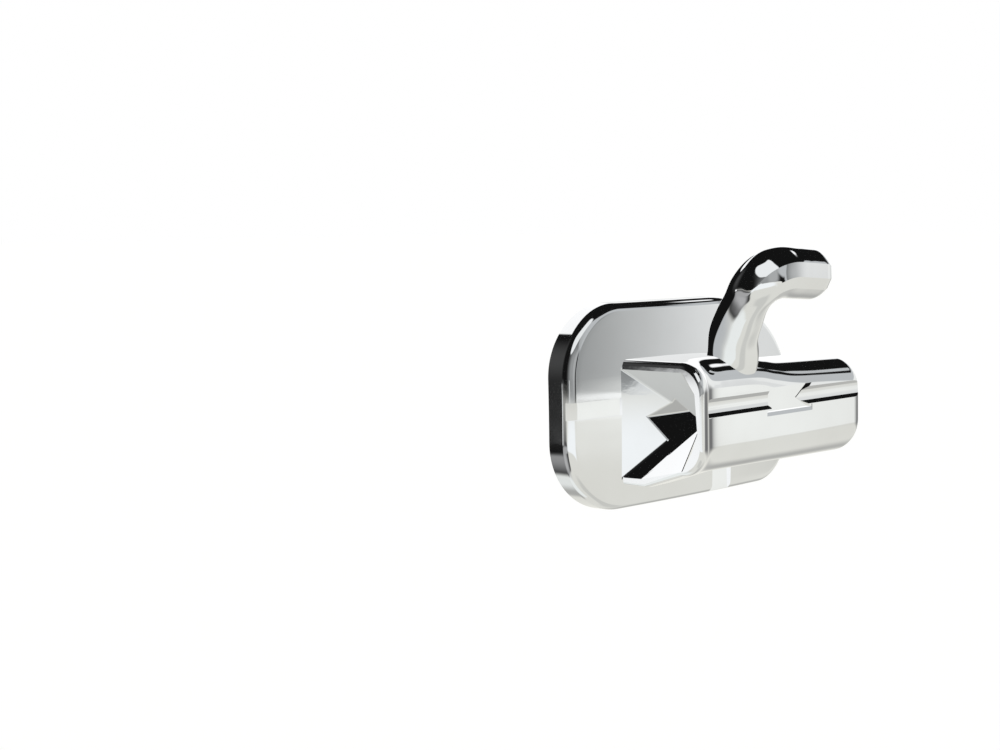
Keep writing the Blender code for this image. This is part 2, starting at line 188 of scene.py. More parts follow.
def prism(name: str, profile: Array, near: float, far: float, axis: int) -> bpy.types.Object:
    """Body with one outline all along an axis.

    Args:
        name: name of the new object.
        profile: outline in the two other axes, in order, in mm.
        near: where it starts along the axis.
        far: where it ends.
        axis: 0, 1 or 2 for x, y or z.

    Returns:
        The new object.
    """
    rings = np.empty((2, len(profile), 3))
    rings[:, :, [i for i in range(3) if i != axis]] = profile[None]
    rings[0, :, axis] = near
    rings[1, :, axis] = far
    return loft(name, rings)


def arc(start: float, stop: float, steps: int) -> Array:
    """Cosine and sine of evenly spread angles, given in degrees, as rows."""
    turn = np.radians(np.linspace(start, stop, steps + 1))
    return np.column_stack([np.cos(turn), np.sin(turn)])


def add_node(tree: bpy.types.NodeTree, kind: str, inputs: dict, **options: object) -> bpy.types.Node:
    """Add a node, set its options, then link or set its inputs.

    Args:
        tree: the node tree.
        kind: the node's type.
        inputs: a socket or a value for each input's name or number.
        options: values of the node's own properties.

    Returns:
        The new node.
    """
    made = tree.nodes.new(kind)
    for key, value in options.items():
        setattr(made, key, value)
    for key, value in inputs.items():
        target = made.inputs[key]
        if isinstance(value, bpy.types.NodeSocket):
            tree.links.new(value, target)
        else:
            target.default_value = (*value, 1.0) if target.type == "RGBA" else value
    return made


def sum_node(tree: bpy.types.NodeTree, operation: str, *values: object) -> bpy.types.NodeSocket:
    """Result of a math node whose inputs, in order, are sockets or numbers."""
    return add_node(tree, "ShaderNodeMath", dict(enumerate(values)), operation=operation).outputs[0]


def mix_node(tree: bpy.types.NodeTree, factor: bpy.types.NodeSocket, under: object,
             over: object) -> bpy.types.NodeSocket:
    """Mix of two colours, sockets or values, by a mask."""
    return add_node(tree, "ShaderNodeMix", {0: factor, 6: under, 7: over}, data_type="RGBA",
                    clamp_factor=True).outputs[2]


@dataclass(frozen=True)
class Pad:
    """Bonding pad: rounded outline, round front edge, both faces bowed to the tooth. Sizes in mm.

    A size called past says how far a cutter runs on beyond what it cuts.
    """

    length: float = 5.12
    height: float = 2.99
    corner_mesial: float = 1.05
    corner_hook: tuple = (2.00, 1.485)
    corner_low: float = 0.75
    wall: float = 0.26
    edge_depth: float = 0.15
    edge_inset: float = 0.13
    bow_front: float = 0.10
    bow_back: float = 0.22
    bow_up: float = 0.03
    corner_steps: int = 28
    run_points: int = 18
    edge_steps: int = 12
    face_steps: int = 26
    face_middle: float = 0.03
    groove_z: float = 0.010
    groove_height: float = 0.25
    groove_depth: float = 0.06
    groove_lift: float = 0.048
    groove_points: int = 16
    groove_past: tuple = (0.01, 0.05)
    groove_front: float = -1.3
    low_groove_x: float = 0.722
    low_groove_width: float = 0.465
    low_groove_depth: float = 0.07
    low_groove_tilt: float = 0.028
    low_groove_past: tuple = (0.05, 0.02)
    low_groove_front: float = -1.0
    pocket: float = 0.24
    pitch: float = 0.42
    pocket_depth: float = 0.11
    pocket_end: float = 0.2
    margin: float = 0.24

    def bow(self, x: Array, z: Array, depth: float | Array) -> Array:
        """Offset towards the cheek: a parabola along the pad plus a flatter one over its height."""
        return (-depth * (1 - (2 * x / self.length) ** 2)
                - self.bow_up * (1 - (2 * z / self.height) ** 2))

    def face_y(self, x: Array, z: Array) -> Array:
        """The front face's y at a place: minus the thickness, plus the bow."""
        return -(self.wall + self.edge_depth) + self.bow(x, z, self.bow_front)

    def corners(self) -> tuple:
        """For each corner its side, first angle and radii along the pad and up it."""
        sides = np.array([[1, 1], [-1, 1], [-1, -1], [1, -1]])
        radii = np.array([self.corner_hook, [self.corner_mesial] * 2, [self.corner_mesial] * 2,
                          [self.corner_low] * 2])
        return tuple(zip(sides, (0.0, 90.0, 180.0, 270.0), radii))

    def outline(self) -> Array:
        """Corner arcs in order, joined by straight runs of points.

        Returns:
            Points (x, z) round the pad, evenly enough spaced for the bowed faces.
        """
        arcs = []
        for side, start, radii in self.corners():
            centre = side * (np.array([self.length, self.height]) / 2 - radii)
            arcs.append(centre + radii * arc(start, start + 90.0, self.corner_steps))
        runs = []
        for index, points in enumerate(arcs):
            following = arcs[(index + 1) % len(arcs)][0]
            span = np.linspace(points[-1], following, self.run_points)[1:-1]
            runs.extend([points, span])
        return np.vstack(runs)

    def inward(self, points: Array) -> Array:
        """Unit normals of the outline, pointing in: a quarter turn of the local chord."""
        chord = np.roll(points, -1, 0) - np.roll(points, 1, 0)
        chord /= np.linalg.norm(chord, axis=1)[:, None]
        return np.column_stack([-chord[:, 1], chord[:, 0]])

    def body(self) -> bpy.types.Object:
        """The pad without its marks.

        Rings go from the middle of the back over its rim, up the wall, round the front edge as
        a quarter ellipse, and in to the middle of the face. On both faces a ring is the
        outline shrunk towards the middle, and the bow is added at the end.

        Returns:
            The pad as a closed body.
        """
        edge = self.outline()
        normal = self.inward(edge)
        quarter = arc(0.0, 90.0, self.edge_steps)
        shrink = np.linspace(self.face_middle, 1.0, self.face_steps)
        back = shrink[:, None, None] * edge[None]
        round_edge = edge[None] + normal[None] * (self.edge_inset * (1 - quarter[:, 0]))[:, None, None]
        inner = round_edge[-1]
        face = shrink[::-1][1:, None, None] * inner[None]
        plan = np.concatenate([back, round_edge, face])
        depth = np.concatenate([np.zeros(len(back)), self.wall + self.edge_depth * quarter[:, 1],
                                np.full(len(face), self.wall + self.edge_depth)])
        rings = np.stack([plan[..., 0], np.repeat(-depth[:, None], plan.shape[1], 1), plan[..., 1]], axis=-1)
        bow = np.where((np.arange(len(rings)) < len(back))[:, None], self.bow_back, self.bow_front)
        rings[..., 1] += self.bow(rings[..., 0], rings[..., 2], bow)
        return loft("pad", rings)

    def rim_groove(self, tube: "Tube") -> bpy.types.Object:
        """Cutter of the shallow mark that runs over the mesial edge to the tube's foot."""
        outside, inside = self.groove_past
        start = -self.length / 2 - outside
        first = -self.length / 2 + self.edge_inset + 0.5 * self.groove_depth
        x = np.linspace(first, tube.mouth + inside, self.groove_points)
        floor = np.column_stack([x, self.face_y(x, np.zeros_like(x)) + self.groove_depth])
        wall_end = self.face_y(-self.length / 2, self.groove_z) + self.edge_depth
        profile = np.vstack([[start, self.groove_front], [start, wall_end - self.groove_lift],
                             floor, [x[-1], self.groove_front]])
        half = self.groove_height / 2
        return prism("rim_groove", profile, self.groove_z - half, self.groove_z + half, 2)

    def low_groove(self, foot: float) -> bpy.types.Object:
        """Cutter of the shallow mark from the far edge to the tube, at the given foot height."""
        x = self.low_groove_x
        outside, inside = self.low_groove_past
        low, high, front = -self.height / 2 - outside, foot + inside, self.low_groove_front
        floor = self.face_y(x, -self.height / 2) + self.low_groove_depth
        inner = self.face_y(x, foot) + self.low_groove_depth + self.low_groove_tilt
        profile = np.array([[front, low], [floor, low], [inner, high], [front, high]])
        half = self.low_groove_width / 2
        return prism("low_groove", profile, x - half, x + half, 0)

    def pockets(self) -> bpy.types.Object:
        """Cutter with one small box per retention pocket, where the back has room for it.

        A pocket stays where its outer corner lies at least the margin inside the outline: at
        every corner the distances past the straight parts, each divided by that radius less
        the margin, have a root of their summed squares of at most one.

        Returns:
            All pocket boxes as one object.
        """
        count = (np.array([self.length, self.height]) / 2 / self.pitch).astype(int)
        grid = np.stack(np.meshgrid(np.arange(-count[0], count[0] + 1), np.arange(-count[1], count[1] + 1),
                                    indexing="ij"), axis=-1).reshape(-1, 2) * self.pitch
        far = grid + np.copysign(self.pocket / 2, grid)
        half_size = np.array([self.length, self.height]) / 2
        kept = np.ones(len(grid), dtype=bool)
        for side, _, radii in self.corners():
            over = np.maximum(side * far - (half_size - radii), 0.0) / (radii - self.margin)
            kept &= np.hypot(over[:, 0], over[:, 1]) <= 1.0
        grid = grid[kept]
        unit = np.array([[-1, -1], [1, -1], [1, 1], [-1, 1]]) * self.pocket / 2
        corner = grid[:, None, :] + unit[None]
        floor = self.bow(grid[:, 0], grid[:, 1], self.bow_back) - self.pocket_depth
        low = np.stack([corner[..., 0], np.repeat(floor[:, None], 4, 1), corner[..., 1]], axis=-1)
        high = low.copy()
        high[..., 1] = self.pocket_end
        points = np.concatenate([low, high], axis=1).reshape(-1, 3)
        box = np.array([[0, 1, 2, 3], [7, 6, 5, 4], [0, 4, 5, 1], [1, 5, 6, 2], [2, 6, 7, 3], [3, 7, 4, 0]])
        loops = (np.arange(len(grid))[:, None, None] * 8 + box[None]).ravel()
        return mesh_from("pockets", points, loops, np.arange(len(grid) * 6) * 4)


@dataclass(frozen=True)
class Tube:
    """Tube body with its flared mouth, turned slot, buccal groove and notch. Sizes in mm.

    A section is a row of x, top, bottom, swell, cheek and corner radius. A wall of the funnel
    is a plane through three points. A size called past says how far a cutter runs on beyond
    what it cuts.
    """

    mouth: float = -1.525
    root_y: float = -0.30
    knee_y: float = -0.88
    cheek_y: float = -1.620
    sections: tuple = (
        (-1.525, 0.600, -0.860, -1.085, -1.920, 0.38),
        (-1.495, 0.655, -0.905, -1.120, -1.940, 0.40),
        (-1.440, 0.680, -0.925, -1.135, -1.945, 0.41),
        (-1.300, 0.685, -0.945, -1.140, -1.885, 0.42),
        (-1.150, 0.685, -0.960, -1.135, -1.770, 0.42),
        (-1.000, 0.685, -0.970, -1.130, -1.680, 0.42),
        (-0.820, 0.685, -0.980, -1.120, -1.630, 0.42),
        (-0.440, 0.685, -0.980, -1.095, -1.620, 0.42),
        (0.210, 0.665, -0.985, -1.030, -1.620, 0.42),
        (0.700, 0.590, -0.990, -1.000, -1.620, 0.43),
        (1.300, 0.520, -1.000, -1.000, -1.620, 0.44),
        (2.695, 0.480, -1.020, -1.020, -1.620, 0.48),
    )
    end_x: float = 3.075
    end_round: float = 0.38
    end_radius_share: float = 0.4
    corner_steps: int = 26
    end_steps: int = 22
    substeps: int = 8
    slot_height: float = 0.457
    slot_depth: float = 0.635
    slot_turn: float = 34.5
    slot_y: float = -0.775
    slot_z: float = -0.137
    slot_past: float = 0.5
    groove_z: float = -0.006
    groove_height: float = 0.272
    groove_depth: float = 0.09
    groove_slopes: tuple = (0.047, 0.065)
    groove_start: float = -1.13
    groove_sag: float = 0.0026
    groove_edge: float = 0.002
    groove_steps: int = 24
    groove_floor_rings: int = 7
    groove_floor_share: float = 0.97
    groove_past: float = 0.3
    cutter_past: float = 0.6
    notch_x: float = 1.000
    notch_z: float = -0.035
    notch_length: float = 1.14
    notch_height: float = 0.42
    notch_depth: float = 0.11
    notch_ends: tuple = (0.135, 0.30)
    notch_flat: float = 0.19
    notch_lip: tuple = (0.055, 0.0170)
    shoulder_past: tuple = (0.3, 0.04)
    walls: dict = field(default_factory=lambda: {
        "pad side": ((-1.525, -0.490, 0.50), (-1.525, -0.490, -1.02), (-1.135, -0.990, 0.00)),
        "hook side": ((-1.525, 0.0, 0.545), (-1.525, -2.0, 0.545), (-1.083, -1.056, 0.056)),
        "narrow facet": ((-1.525, -0.490, -1.020), (-1.525, -0.830, -1.012), (-1.120, -1.008, -0.476)),
        "far side": ((-1.525, -0.830, -1.012), (-1.525, -1.690, -0.827), (-1.263, -1.134, -0.660)),
        "cheek side": ((-1.525, -1.830, 0.255), (-1.525, -1.875, -0.295), (-0.825, -1.44, -0.02)),
        "hook corner": ((-1.525, -1.610, 0.545), (-1.525, -1.830, 0.255), (-0.875, -1.40, 0.06)),
        "far corner low": ((-1.525, -1.770, -0.560), (-1.525, -1.600, -0.840), (-0.875, -1.35, -0.36)),
        "far corner high": ((-1.525, -1.875, -0.295), (-1.525, -1.770, -0.560), (-0.875, -1.42, -0.25)),
    })
    inner: tuple = (-1.45, -1.20, -0.20)
    funnel_past: float = 0.03
    funnel_block: float = 6.0

    def outline(self, rows: Array) -> Array:
        """Rings of (y, z) for rows of top, bottom, swell, cheek and radius.

        Each ring has three points on the pad side, then a quarter circle on the hook side and
        one on the far side of the buccal face.

        Args:
            rows: one row per ring.

        Returns:
            Array of shape (rings, points, 2).
        """
        top, bottom, swell, cheek, radius = (rows[:, i:i + 1] for i in range(5))
        root = np.full_like(top, self.root_y)
        knee = np.full_like(top, self.knee_y)
        quarter = arc(0.0, 90.0, self.corner_steps)
        cos, sin = quarter[None, :, 0], quarter[None, :, 1]
        y = np.hstack([knee, root, root, cheek + radius - radius * sin, cheek + radius - radius * cos])
        z = np.hstack([swell, swell, top, top - radius + radius * cos, bottom + radius - radius * sin])
        return np.stack([y, z], axis=-1)

    def body(self) -> bpy.types.Object:
        """The tube without its openings: lofted sections, then a quarter-round far end.

        Returns:
            The tube as a closed body.
        """
        rows = through(np.array(self.sections), self.substeps)
        quarter = arc(0.0, 90.0, self.end_steps)[1:]
        inset = self.end_round * (1 - quarter[:, 0:1])
        last = rows[-1]
        end_x = self.end_x - self.end_round * (1 - quarter[:, 1:2])
        end = np.hstack([end_x, last[1] - inset, last[2] + inset, last[3] + inset, last[4] + inset,
                         last[5] - inset * self.end_radius_share])
        rows = np.vstack([rows, end])
        plan = self.outline(rows[:, 1:])
        rings = np.concatenate([np.repeat(rows[:, None, 0:1], plan.shape[1], 1), plan], axis=-1)
        return loft("tube", rings)

    def slot(self) -> bpy.types.Object:
        """Cutter of the archwire slot: a rectangle turned about the tube's axis."""
        turn = math.radians(self.slot_turn)
        deep = np.array([-math.sin(turn), -math.cos(turn)]) * self.slot_depth
        high = np.array([-math.cos(turn), math.sin(turn)]) * self.slot_height
        corner = np.array([self.slot_y, self.slot_z])
        profile = np.array([corner, corner + deep, corner + deep + high, corner + high])
        return prism("slot", profile, self.mouth - self.slot_past, self.end_x + self.slot_past, 0)

    def funnel(self) -> bpy.types.Object:
        """Cutter of the mouth: a block trimmed by one plane for each flat wall.

        Returns:
            A convex body that lies inside all the walls.
        """
        start, end = self.mouth - self.funnel_past, self.end_x
        inner = Vector(self.inner)
        block = bmesh.new()
        bmesh.ops.create_cube(block, size=1.0)
        bmesh.ops.scale(block, vec=(end - start, self.funnel_block, self.funnel_block), verts=block.verts)
        bmesh.ops.translate(block, vec=((start + end) / 2, 0, 0), verts=block.verts)
        for corners in self.walls.values():
            a, b, c = (Vector(corner) for corner in corners)
            normal = (b - a).cross(c - a).normalized()
            if normal.dot(inner - a) > 0:
                normal = -normal
            geometry = block.verts[:] + block.edges[:] + block.faces[:]
            cut = bmesh.ops.bisect_plane(block, geom=geometry, plane_co=a, plane_no=normal, clear_outer=True)
            edges = [item for item in cut["geom_cut"] if isinstance(item, bmesh.types.BMEdge)]
            if edges:
                bmesh.ops.contextual_create(block, geom=edges)
        bmesh.ops.recalc_face_normals(block, faces=block.faces)
        mesh = bpy.data.meshes.new("funnel")
        block.to_mesh(mesh)
        block.free()
        obj = bpy.data.objects.new("funnel", mesh)
        bpy.context.scene.collection.objects.link(obj)
        return obj

    def groove_ring(self, y: float, low: float, high: float) -> Array:
        """Groove outline at a depth, drawn in by low and high on its two sides."""
        half = (self.groove_height - low - high) / 2
        middle = self.groove_z + (low - high) / 2
        centre = np.array([self.groove_start + self.groove_height / 2, middle])
        left = centre + half * arc(90.0, 270.0, self.groove_steps)
        far = self.end_x + self.groove_past
        plan = np.vstack([[far, middle - half], [far, middle + half], left])
        return np.column_stack([plan[:, 0], np.full(len(plan), y), plan[:, 1]])

    def groove(self) -> bpy.types.Object:
        """Cutter of the long buccal groove, open at the far end.

        Its sides slope, and its floor is a shallow hollow: at a share t of the way from the
        floor's edge to its middle it lies deeper by the sag times (1 - (1 - t) squared).

        Returns:
            The cutter as a closed body.
        """
        low, high = self.groove_slopes
        rings = [self.groove_ring(self.cheek_y - self.cutter_past, 0.0, 0.0),
                 self.groove_ring(self.cheek_y - self.groove_edge, 0.0, 0.0)]
        reach = (self.groove_height - low - high) / 2 * self.groove_floor_share
        for share in np.linspace(0.0, 1.0, self.groove_floor_rings):
            deep = self.cheek_y + self.groove_depth + self.groove_sag * (1 - (1 - share) ** 2)
            rings.append(self.groove_ring(deep, low + share * reach, high + share * reach))
        return loft("groove", np.stack(rings))

    def notch(self) -> bpy.types.Object:
        """Cutter of the square notch, with the groove's ends standing into it."""
        left, right = self.notch_x - self.notch_length / 2, self.notch_x + self.notch_length / 2
        tall, blunt = self.notch_height / 2, self.notch_flat / 2
        z = self.notch_z
        mesial, distal = self.notch_ends
        low = z - tall + self.notch_lip[0]
        profile = np.array([(left, z + tall), (left + mesial, z + blunt), (left + mesial, z - blunt),
                            (left, low), (right, low), (right - distal, z), (right, z + tall)])
        near, far = self.cheek_y - self.cutter_past, self.cheek_y + self.notch_depth
        return prism("notch", profile, near, far, 1)

    def notch_shoulder(self) -> bpy.types.Object:
        """Cutter of the shallow slope along the notch's edge away from the hook."""
        wide, deep = self.notch_lip
        front, above = self.shoulder_past
        low, face = self.notch_z - self.notch_height / 2 + wide, self.cheek_y
        profile = np.array([(face - front, low + above), (face + deep, low + above), (face + deep, low),
                            (face, low - wide), (face - front, low - wide)])
        left, right = self.notch_x - self.notch_length / 2, self.notch_x + self.notch_length / 2
        return prism("notch_shoulder", profile, left, right, 0)


@dataclass(frozen=True)
class Hook:
    """Squarish bar swept up from the tube, out towards the cheek, then distally. Sizes in mm.

    A station is a row of x, y, z, half width and half thickness. The ridges' corner is given in
    shares of those halves, their turns in degrees, and their run in shares of the bar's length.
    """

    stations: tuple = (
        (0.045, -1.22, 0.395, 0.350, 0.350),
        (0.000, -1.320, 0.695, 0.345, 0.355),
        (-0.212, -1.50, 0.995, 0.312, 0.350),
        (-0.415, -1.77, 1.275, 0.305, 0.330),
        (-0.550, -1.995, 1.500, 0.305, 0.305),
        (-0.590, -2.16, 1.690, 0.325, 0.325),
        (-0.480, -2.27, 1.840, 0.34, 0.34),
        (-0.210, -2.32, 1.910, 0.34, 0.34),
        (0.130, -2.33, 1.895, 0.34, 0.34),
        (0.490, -2.33, 1.870, 0.34, 0.34),
    )
    squareness: float = 2.6
    ridge_corner: tuple = (-0.6, -0.8)
    ridge_turns: tuple = (22.0, 52.0)
    ridge_run: tuple = (0.45, 0.80)
    crease_samples: int = 20001
    ring_steps: int = 120
    substeps: int = 9
    tip_steps: int = 16

    def frames(self, centres: Array) -> tuple[Array, Array, Array]:
        """Directions carried along the bar without twist.

        Args:
            centres: centre points of the rings.

        Returns:
            Unit tangents, side directions and face directions, one row per ring.
        """
        tangent = np.gradient(centres, axis=0)
        tangent /= np.linalg.norm(tangent, axis=1)[:, None]
        side = np.zeros_like(tangent)
        last = np.array([1.0, 0.0, 0.0])
        for index, direction in enumerate(tangent):
            last = last - direction * last.dot(direction)
            last /= np.linalg.norm(last)
            side[index] = last
        return tangent, side, np.cross(tangent, side)

    def oval(self, turn: Array) -> Array:
        """Superellipse points across and through the bar, from -1 to 1, for angles."""
        both = np.column_stack([np.cos(turn), np.sin(turn)])
        return np.sign(both) * np.abs(both) ** (2.0 / self.squareness)

    def with_ridges(self, plan: Array) -> Array:
        """Cut two flat ridges that meet in a corner into the ring's upper cheek quarter.

        Each ridge is a line through the corner, turned by its angle from the cheek side. A
        point outside it moves onto it, by its distance along the line's normal. Where a line
        leaves the oval, and at the corner, the nearest ring point moves onto the crease.

        Args:
            plan: ring points across and through the bar, from -1 to 1.

        Returns:
            The points with the ridges cut.
        """
        fine = self.oval(np.linspace(np.pi, 1.5 * np.pi, self.crease_samples))
        creases = [np.array(self.ridge_corner)]
        for turn, end in zip(np.radians(self.ridge_turns), (-1, 0)):
            normal = -np.array([np.sin(turn), np.cos(turn)])
            reach = normal @ creases[0]
            plan = plan - np.maximum(plan @ normal - reach, 0.0)[:, None] * normal
            creases.append(fine[np.flatnonzero(fine @ normal > reach)[end]])
        for crease in creases:
            plan[np.argmin(np.linalg.norm(plan - crease, axis=1))] = crease
        return plan

    def body(self) -> bpy.types.Object:
        """The hook as a closed body.

        A ring is a superellipse: the sine and cosine of the angle, each raised to two over the
        squareness, times the half width and half thickness. The ridges fade in along the bar
        by the smooth step 3 s squared - 2 s cubed. The tip shrinks as a half sphere.

        Returns:
            The hook, its root buried in the tube.
        """
        path = through(np.array(self.stations), self.substeps)
        tangent, side, face = self.frames(path[:, :3])
        ends = len(path)
        bend = arc(0.0, 90.0, self.tip_steps)[1:-1]
        tip = np.repeat(path[-1:], len(bend), 0)
        tip[:, :3] += tangent[-1] * (path[-1, 3] * bend[:, 1:2])
        tip[:, 3:] *= bend[:, 0:1]
        path = np.vstack([path, tip])
        side = np.vstack([side, np.repeat(side[-1:], len(bend), 0)])
        face = np.vstack([face, np.repeat(face[-1:], len(bend), 0)])
        turn = 2 * np.pi * (np.arange(self.ring_steps) + 0.5) / self.ring_steps
        plain = self.oval(turn)
        start, end = self.ridge_run
        share = np.clip((np.linspace(0.0, 1.0, ends) - start) / (end - start), 0.0, 1.0)
        share = np.append(share, np.ones(len(path) - ends))[:, None, None]
        plan = plain + (share ** 2 * (3 - 2 * share)) * (self.with_ridges(plain) - plain)
        rings = (path[:, None, :3] + side[:, None] * (path[:, 3:4] * plan[..., 0])[..., None]
                 + face[:, None] * (path[:, 4:5] * plan[..., 1])[..., None])
        return loft("hook", rings)


@dataclass(frozen=True)
class SteelFinish:
    """Bright polished stainless steel with faint clouds and polishing marks.

    Scales are per metre, the depth of the marks is in metres. A range gives the two values of a
    noise that become 0 and 1.
    """

    name: str = "polished_steel"
    color: tuple = (0.78, 0.79, 0.80)
    stain: tuple = (0.745, 0.75, 0.755)
    roughness: float = 0.03
    dulling: float = 0.035
    cloud_scale: float = 900.0
    cloud_detail: float = 3.0
    cloud_range: tuple = (0.35, 0.75)
    mark_scale: float = 2600.0
    mark_detail: float = 4.0
    mark_range: tuple = (0.56, 0.78)
    mark_stretch: float = 14.0
    mark_turn: tuple = (0.3, 0.5, 0.2)
    mark_depth: float = 1.0e-7

    @staticmethod
    def noise(tree: bpy.types.NodeTree, place: bpy.types.NodeSocket, scale: float, detail: float,
              span: tuple) -> bpy.types.NodeSocket:
        """Noise at a place, spread so that the span's two values become 0 and 1."""
        made = add_node(tree, "ShaderNodeTexNoise", {"Vector": place, "Scale": scale, "Detail": detail})
        return add_node(tree, "ShaderNodeMapRange", {"Value": made.outputs["Fac"], "From Min": span[0],
                                                     "From Max": span[1]}).outputs["Result"]

    def polish_group(self) -> bpy.types.NodeTree:
        """Group that gives the colour, the roughness and the fine marks that polishing leaves.

        Clouds are low noise in object coordinates. The colour leans to the stain where there
        are clouds, and the roughness is the base value plus the dulling times the clouds. Marks
        are noise drawn out along the tube by the stretch, kept where it passes a threshold.

        Returns:
            The group, with the outputs Color, Roughness and Marks.
        """
        tree = bpy.data.node_groups.new("polish_wear", "ShaderNodeTree")
        for name, kind in (("Color", "Color"), ("Roughness", "Float"), ("Marks", "Float")):
            tree.interface.new_socket(name, in_out="OUTPUT", socket_type="NodeSocket" + kind)
        result = tree.nodes.new("NodeGroupOutput").inputs
        place = tree.nodes.new("ShaderNodeTexCoord").outputs["Object"]
        drawn = add_node(tree, "ShaderNodeMapping", {"Vector": place, "Rotation": self.mark_turn,
                                                     "Scale": (1.0 / self.mark_stretch, 1.0, 1.0)})
        clouds = self.noise(tree, place, self.cloud_scale, self.cloud_detail, self.cloud_range)
        marks = self.noise(tree, drawn.outputs["Vector"], self.mark_scale, self.mark_detail,
                           self.mark_range)
        dull = sum_node(tree, "MULTIPLY_ADD", clouds, self.dulling, self.roughness)
        tree.links.new(mix_node(tree, clouds, self.color, self.stain), result["Color"])
        tree.links.new(dull, result["Roughness"])
        tree.links.new(marks, result["Marks"])
        return tree

    def material(self) -> bpy.types.Material:
        """The finish: metal with the group's colour and roughness, its marks slightly sunk."""
        mat = bpy.data.materials.new(self.name)
        mat.use_nodes = True
        tree = mat.node_tree
        shader = tree.nodes["Principled BSDF"]
        shader.inputs["Metallic"].default_value = 1.0
        wear = add_node(tree, "ShaderNodeGroup", {}, node_tree=self.polish_group()).outputs
        bump = add_node(tree, "ShaderNodeBump", {"Height": wear["Marks"], "Distance": self.mark_depth},
                        invert=True)
        tree.links.new(wear["Color"], shader.inputs["Base Color"])
        tree.links.new(wear["Roughness"], shader.inputs["Roughness"])
        tree.links.new(bump.outputs["Normal"], shader.inputs["Normal"])
        return mat


@dataclass(frozen=True)
class BuccalTube:
    """The whole part, one piece of metal."""

    pad: Pad = Pad()
    tube: Tube = Tube()
    hook: Hook = Hook()
    finish: SteelFinish = SteelFinish()
    edge_radius: float = 0.018
    edge_angle: float = 25.0
    edge_steps: int = 3
    sharp_angle: float = 14.0
    face_weight: int = 100

    def build(self) -> bpy.types.Object:
        """Join the bodies, cut the openings and dress the part.

        Returns:
            The finished piece, in metres, riding on the root body.
        """
        part = self.pad.body()
        combine(part, self.pad.pockets(), Cut.REMOVE)
        combine(part, self.pad.rim_groove(self.tube), Cut.REMOVE)
        combine(part, self.pad.low_groove(self.tube.sections[-1][2]), Cut.REMOVE)
        combine(part, self.tube.body(), Cut.JOIN)
        combine(part, self.hook.body(), Cut.JOIN)
        combine(part, self.tube.groove(), Cut.REMOVE)
        combine(part, self.tube.notch(), Cut.REMOVE)
        combine(part, self.tube.notch_shoulder(), Cut.REMOVE)
        opening = self.tube.funnel()
        combine(opening, self.tube.slot(), Cut.JOIN)
        rounded(opening, self.edge_radius, self.edge_angle, self.edge_steps)
        combine(part, opening, Cut.REMOVE)
        self.shade(part)
        part.name = "buccal_tube_metal"
        part.data.name = "buccal_tube_metal"
        part.data.transform(Matrix.Scale(MM, 4))
        part.data.materials.clear()
        part.data.materials.append(self.finish.material())
        part.visible_glossy = False
        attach(part, "root")
        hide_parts("buccal_tube")
        return part

    def shade(self, part: bpy.types.Object) -> None:
        """Smooth the curved skins, keep real edges crisp and flat faces flat, still in mm."""
        part.data.polygons.foreach_set("use_smooth", np.ones(len(part.data.polygons), dtype=bool))
        part.data.set_sharp_from_angle(angle=math.radians(self.sharp_angle))
        normals = part.modifiers.new("flat_faces_stay_flat", "WEIGHTED_NORMAL")
        normals.keep_sharp = True
        normals.weight = self.face_weight
        keep(part)


@dataclass(frozen=True)
class Card:
    """A light card or flag that polished metal sees, given by direction in degrees.

    Wide and tall are half sizes. The card fades out from 1 less the softness to 1 plus it, in
    shares of those, the power is 2 for an ellipse and more for a squarer card, and the lean
    turns it. The colour blends to the far colour, if there is one, from the card's low
    longitudes to its high ones.
    """

    name: str
    lon: float
    lat: float
    wide: float
    tall: float
    color: tuple
    soft: float = 0.06
    power: float = 2.2
    lean: float = 0.0
    far_color: tuple = ()

    def sockets(self) -> dict:
        """Values for the card group's inputs, by name."""
        return {"Card Longitude": self.lon, "Card Latitude": self.lat, "Half Width": self.wide,
                "Half Height": self.tall, "Near": 1 - self.soft, "Far": 1 + self.soft,
                "Power": self.power, "Root": 1 / self.power, "Lean": math.radians(self.lean)}


